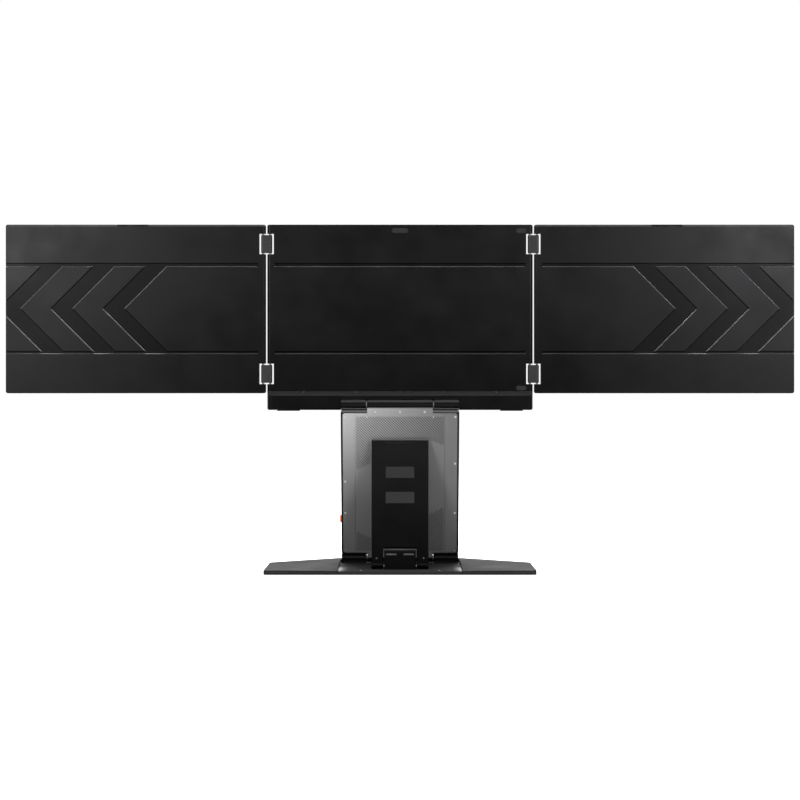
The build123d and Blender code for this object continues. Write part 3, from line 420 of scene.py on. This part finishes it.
def base_metal():
    """Black blasted plate, with painted shade on its rear face and on the two facets between the deck and a
    crease.
    """
    f = blasted("base_metal", (0.0096, 0.0096, 0.0099), 0.66, specular=0.08, edge=0.1)
    x = f.math("ABSOLUTE", f.axis(f.place, "X"))
    ahead = f.math("SUBTRACT", base_rear, f.axis(f.place, "Y"))
    past_deck = f.math("DIVIDE", f.math("SUBTRACT", x, cheek), CREASE_SPAN)
    to_crease = f.math("ADD", past_deck, f.math("DIVIDE", ahead, CREASE_LENGTH))
    # painted shade on the two facets between the deck and the crease
    f.shade(f.ramp(to_crease, 0.97, 1.03, 0.78, 1.0))
    # painted shade on the rear face
    rearward = f.axis(f.facing, "Y")
    f.shade(f.ramp(rearward, 0.7, 0.95, 1.0, 0.75))
    return f


def deck_metal():
    """Deck insert, with a painted highlight where it runs up to the cheeks and a painted shadow line beside
    each.
    """
    f = blasted("deck_metal", (0.008, 0.008, 0.0083), 0.58, specular=0.06, edge=0.05)
    inward = f.math("SUBTRACT", cheek, f.math("ABSOLUTE", f.axis(f.place, "X")))
    # painted highlight near the cheeks, on the faces that look up, towards the rear
    side = f.math("POWER", f.ramp(inward, CHEEK_HIGHLIGHT, CHEEK_HIGHLIGHT_END, 1.0, 0.0), 3.0)
    behind = f.ramp(f.axis(f.place, "Y"), base_rear - DECK_HIGHLIGHT_FROM, base_rear - DECK_HIGHLIGHT_WHOLE)
    upward = f.ramp(f.axis(f.facing, "Z"), 0.6, 0.9)
    f.tint(f.both(f.both(side, behind), upward), grey(0.24))
    # painted shadow line along each cheek
    f.tint(f.ramp(inward, CHEEK_SHADOW_LINE_END, CHEEK_SHADOW_LINE), grey(0.0005))
    return f


def circuit_board():
    """Green lacquer over fine tracks."""
    f = Finish("circuit_board", (0.012, 0.07, 0.03), 0.35, 0.0, 0.5)
    tracks = f.math("GREATER_THAN", f.noise(2.4 * MM, detail=1.0), 0.52)
    f.tint(f.both(tracks, 0.4), (0.05, 0.16, 0.07))
    f.bump(tracks, 0.03 * MM)
    return f


# ---- which node has which finish

FINISHES = {               # by the record's material slot
    "panel_cover": panel_cover,
    "panel_frame": panel_frame,
    "screen_glass": screen_glass,
    "inner_plastic": lambda: blasted("inner_plastic", grey(0.12), 0.5),
    "circuit_board": circuit_board,
    "base_metal": base_metal,
    "deck_metal": deck_metal,
    "steel_sheet": lambda: blasted("steel_sheet", grey(0.02), 0.5),
    "rubber": lambda: rubber("rubber", grey(0.006)),
    "hinge_black": lambda: blasted("hinge_black", (0.002, 0.002, 0.0021), 0.3, specular=0.08, edge=0.03),
    "chassis_black": spine_black,
    "spine_metal": spine_metal,
    "strut_black": strut_black,
    "strut_pad": lambda: blasted("strut_pad", (0.010, 0.010, 0.0103), 0.6, specular=0.06),
    "link_metal": lambda: blasted("link_metal", (0.012, 0.012, 0.0125), 0.35, specular=0.1, edge=0.1),
    "pin_steel": lambda: brushed("pin_steel", (0.10, 0.10, 0.102), 0.4, along=(1.0, 30.0, 30.0)),
    "screw_steel": lambda: brushed("screw_steel", (0.24, 0.24, 0.245), 0.35),
    "dark_screw": lambda: brushed("dark_screw", grey(0.02), 0.35),
    "lug_leaf": lambda: brushed("lug_leaf", grey(0.035), 0.4),
    "key_orange": lambda: blasted("key_orange", (0.62, 0.17, 0.03), 0.4, edge=0.15),
    "bar_plastic": lambda: blasted("bar_plastic", (0.003, 0.003, 0.0031), 0.6, specular=0.08),
    "plug_black": lambda: rubber("plug_black", (0.007, 0.007, 0.0073), 0.65),
}
NODE_FINISHES = {          # nodes whose finish differs from the rest of their slot
    "strut_lug": lambda: blasted("lug_black", grey(0.0008), 0.6, specular=0.02),
    "strut_bumper": lambda: rubber("bumper_rubber", grey(0.001)),
    "spine_upper_barrel": upper_hinge_black,
    "centre_knuckles": upper_hinge_black,
}


def dress_nodes():
    """Gives every CAD node the finish of its slot in the record, or its own."""
    made = {slot: make().done() for slot, make in FINISHES.items()}
    for part in frame["record"]["subparts"]:
        node = frame["nodes"][part["node"]]
        node.data.materials.clear()
        own = NODE_FINISHES.get(part["node"])
        node.data.materials.append(own().done() if own else made[part["material_slot"]])


# ---- etched lines on the spine's cover, in the spine's own frame: X, and height along the spine

HATCH_PITCH = 2.3 * MM      # from one line to the next
HATCH_LINE = 1.05 * MM      # a line's width, and the shortest length that is made
HATCH_PROUD = 0.05 * MM     # how far the lines stand out of the cover
HATCH_SINK = 0.1 * MM       # and how far they reach into it
HATCH_DARK = 0.3            # colour of the lines, as a share of the cover's
SIDE = 53.4 * MM            # just inside the seams
INNER = 35.5 * MM           # past the strut's sides
FOOT = 10.5 * MM            # lower end of the two lower fields
BELT = 150 * MM             # lower end of the upper field, which runs across
HEAD = 179.3 * MM           # its upper end
HATCH_FIELDS = [            # direction in degrees, corners
    (45, [(-SIDE, BELT), (SIDE, BELT), (SIDE, HEAD), (-SIDE, HEAD)]),
    (45, [(INNER, 121.0 * MM), (SIDE, 113.0 * MM), (SIDE, BELT), (INNER, BELT)]),
    (45, [(-INNER, BELT), (-SIDE, BELT), (-SIDE, 143.5 * MM), (-INNER, 150.5 * MM)]),
    (-45, [(INNER, FOOT), (SIDE, FOOT), (SIDE, 35.0 * MM), (INNER, 26.5 * MM)]),
    (-45, [(-SIDE, FOOT), (-INNER, FOOT), (-INNER, 57.0 * MM), (-SIDE, 65.5 * MM)]),
]
FAR = 10.0                  # longer than any line on the cover
PARALLEL = 1e-12            # a line that nears a side no faster than this runs along it


def clip(polygon, origin, direction):
    """The stretch of a line, as two distances along it, that lies inside a convex polygon."""
    first, last = -FAR, FAR
    middle = sum((Vector(corner) for corner in polygon), Vector((0, 0))) / len(polygon)
    for start, end in zip(polygon, polygon[1:] + polygon[:1]):
        side = Vector(end) - Vector(start)
        normal = Vector((side.y, -side.x))
        if normal.dot(middle - Vector(start)) < 0:
            normal.negate()
        speed = normal.dot(direction)
        depth = normal.dot(origin - Vector(start))
        if abs(speed) < PARALLEL:
            if depth < 0:
                return None
        elif speed > 0:
            first = max(first, -depth / speed)
        else:
            last = min(last, -depth / speed)
    return (first, last) if last - first > HATCH_LINE else None


def add_bar(mesh, start, end, rear):
    """Thin raised bar from start to end on the cover's rear face."""
    along = (end - start).normalized()
    across = Vector((-along.y, along.x)) * (HATCH_LINE / 2)
    rings = []
    for y in (rear - HATCH_SINK, rear + HATCH_PROUD):
        corners = (start - across, start + across, end + across, end - across)
        rings.append([mesh.verts.new(leaned(c.x, y, c.y)) for c in corners])
    low, high = rings
    mesh.faces.new(low)
    mesh.faces.new(high[::-1])
    for n in range(4):
        mesh.faces.new((low[n], high[n], high[(n + 1) % 4], low[(n + 1) % 4]))


def spine_hatch():
    """Fields of fine diagonal lines between the cover's seams."""
    rear = max(corner.y for corner in spine_corners("spine_cover"))
    mesh = bmesh.new()
    for degrees, polygon in HATCH_FIELDS:
        turn = math.radians(degrees)
        direction = Vector((math.cos(turn), math.sin(turn)))
        across = Vector((-direction.y, direction.x))
        spots = [across.dot(Vector(corner)) / HATCH_PITCH for corner in polygon]
        for n in range(math.ceil(min(spots)), math.floor(max(spots)) + 1):
            origin = across * n * HATCH_PITCH
            stretch = clip(polygon, origin, direction)
            if stretch:
                start, end = (origin + direction * distance for distance in stretch)
                add_bar(mesh, start, end, rear)
    bmesh.ops.recalc_face_normals(mesh, faces=mesh.faces)
    data = bpy.data.meshes.new("spine_cover_hatch")
    mesh.to_mesh(data)
    mesh.free()
    data.materials.append(spine_metal("spine_hatch", HATCH_DARK).done())
    piece = bpy.data.objects.new("spine_cover_hatch", data)
    bpy.context.scene.collection.objects.link(piece)
    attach(piece, "spine")


# ---- floor, light and camera

FLOOR_HALF = 30.0
FLOOR_GREY = 0.8
FLOOR_GLOW = 0.75           # added to the floor where it is seen or mirrored
BACKDROP = 1.0              # strength of the world where it is seen or mirrored: white
FILL = 0.35                 # strength of its light on the object
MIDDLE = (0.0, 0.0, 0.25)   # what the lamps point at
LAMPS = [                   # name, place, width, height, watts
    ("top", (0.0, -0.05, 1.9), 2.4, 0.3, 60.0),
    ("rear_top", (0.0, 1.0, 2.1), 1.2, 0.4, 12.0),
    ("rear_right", (0.98, 1.77, 0.68), 0.4, 0.4, 31.0),
    ("rear_left", (-0.98, 1.77, 0.68), 0.4, 0.4, 31.0),
    ("front", (0.0, -2.2, 1.3), 2.4, 1.2, 30.0),
]
LENS = 77.56                # millimetres, as is the sensor
SENSOR = 36.0
CAMERA_BACK = 2.080         # metres, as is the height
CAMERA_HEIGHT = 0.2034


def seen_directly(nodes, links, strength):
    """That strength for camera, glossy and transmission rays, and 0 for the rest."""
    path = nodes.new("ShaderNodeLightPath")
    found = path.outputs["Is Camera Ray"]
    for name in ("Is Glossy Ray", "Is Transmission Ray"):
        either = nodes.new("ShaderNodeMath")
        either.operation = "MAXIMUM"
        links.new(found, either.inputs[0])
        links.new(path.outputs[name], either.inputs[1])
        found = either.outputs[0]
    scaled = nodes.new("ShaderNodeMath")
    scaled.operation = "MULTIPLY"
    scaled.inputs[1].default_value = strength
    links.new(found, scaled.inputs[0])
    return scaled.outputs[0]


def floor():
    """Pale floor that shows as the white background wherever light reaches it."""
    corners = [(-FLOOR_HALF, -FLOOR_HALF, 0), (FLOOR_HALF, -FLOOR_HALF, 0),
               (FLOOR_HALF, FLOOR_HALF, 0), (-FLOOR_HALF, FLOOR_HALF, 0)]
    mesh = bpy.data.meshes.new("floor")
    mesh.from_pydata(corners, [], [(0, 1, 2, 3)])
    plane = bpy.data.objects.new("floor", mesh)
    bpy.context.scene.collection.objects.link(plane)
    material = bpy.data.materials.new("floor")
    material.use_nodes = True
    nodes, links = material.node_tree.nodes, material.node_tree.links
    nodes.clear()
    diffuse = nodes.new("ShaderNodeBsdfDiffuse")
    diffuse.inputs["Color"].default_value = (*grey(FLOOR_GREY), 1)
    glow = nodes.new("ShaderNodeEmission")
    links.new(seen_directly(nodes, links, FLOOR_GLOW), glow.inputs["Strength"])
    total = nodes.new("ShaderNodeAddShader")
    links.new(diffuse.outputs[0], total.inputs[0])
    links.new(glow.outputs[0], total.inputs[1])
    links.new(total.outputs[0], nodes.new("ShaderNodeOutputMaterial").inputs["Surface"])
    mesh.materials.append(material)


def world():
    """White to look at, and a low even light on the object."""
    made = bpy.data.worlds.new("studio")
    made.use_nodes = True
    nodes, links = made.node_tree.nodes, made.node_tree.links
    backdrop = nodes["Background"]
    strength = nodes.new("ShaderNodeMath")
    strength.operation = "MAXIMUM"
    strength.inputs[1].default_value = FILL
    links.new(seen_directly(nodes, links, BACKDROP), strength.inputs[0])
    links.new(strength.outputs[0], backdrop.inputs["Strength"])
    backdrop.inputs["Color"].default_value = (1, 1, 1, 1)
    bpy.context.scene.world = made


def softbox(name, place, width, height, power):
    """Rectangular lamp that the camera doesn't see, turned towards the object."""
    data = bpy.data.lights.new(name, "AREA")
    data.shape = "RECTANGLE"
    data.size = width
    data.size_y = height
    data.energy = power
    lamp = bpy.data.objects.new(name, data)
    lamp.location = place
    lamp.rotation_euler = (Vector(MIDDLE) - Vector(place)).to_track_quat("-Z", "Y").to_euler()
    lamp.visible_camera = False
    bpy.context.scene.collection.objects.link(lamp)


def studio():
    floor()
    world()
    for lamp in LAMPS:
        softbox(*lamp)


def camera():
    """Level, behind the object."""
    data = bpy.data.cameras.new("camera")
    data.lens = LENS
    data.sensor_width = SENSOR
    view = bpy.data.objects.new("camera", data)
    view.location = (0.0, CAMERA_BACK, CAMERA_HEIGHT)
    view.rotation_euler = (math.radians(90), 0.0, math.radians(180))
    bpy.context.scene.collection.objects.link(view)
    bpy.context.scene.camera = view


dress_nodes()
spine_hatch()
studio()
camera()
bpy.context.scene.view_settings.view_transform = "Standard"
